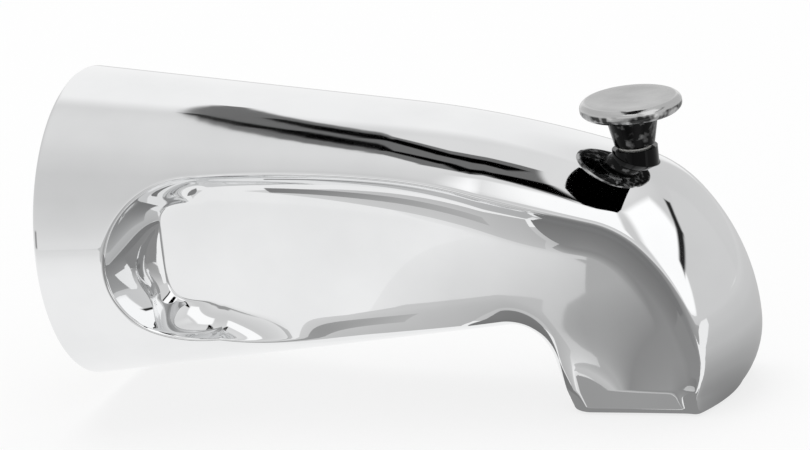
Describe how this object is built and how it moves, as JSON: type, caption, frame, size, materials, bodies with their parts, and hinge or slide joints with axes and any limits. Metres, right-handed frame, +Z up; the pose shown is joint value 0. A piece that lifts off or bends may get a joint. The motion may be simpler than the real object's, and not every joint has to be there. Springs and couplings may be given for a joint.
{
  "type": "bath spout",
  "caption": "Wall-mounted bath spout with a round tapered bell, scooped sides under a drooping hood, a downward nozzle and a pull-up diverter knob.",
  "frame": {"origin": "where the axis of the supply pipe meets the finished wall", "axes": "+X out of the wall along the spout, +Z up, +Y to the right of someone who faces the wall, in the plane of the wall"},
  "size_m": [0.1464, 0.0666, 0.0708],
  "materials": {
    "chrome_plate": "mirror-bright chrome plate",
    "knob_plate": null,
    "brass": "machined, unplated",
    "rubber": "matte black",
    "steel": "drawn stainless steel",
    "white_plastic": "moulded, unpainted"
  },
  "bodies": {
    "spout": {"spout_body": "chrome_plate", "inlet_bushing": "brass", "inlet_seal": "rubber", "rod_bush": "white_plastic"},
    "diverter": {"lift_knob": "knob_plate", "lift_rod": "steel", "diverter_gate": "white_plastic", "gate_washer": "rubber", "washer_screw": "steel"}
  },
  "joints": [
    {"name": "knob_lift", "type": "slide", "parent": "spout", "child": "diverter", "axis": [0, 0, 1], "range_m": [0, 0.015]}
  ]
}
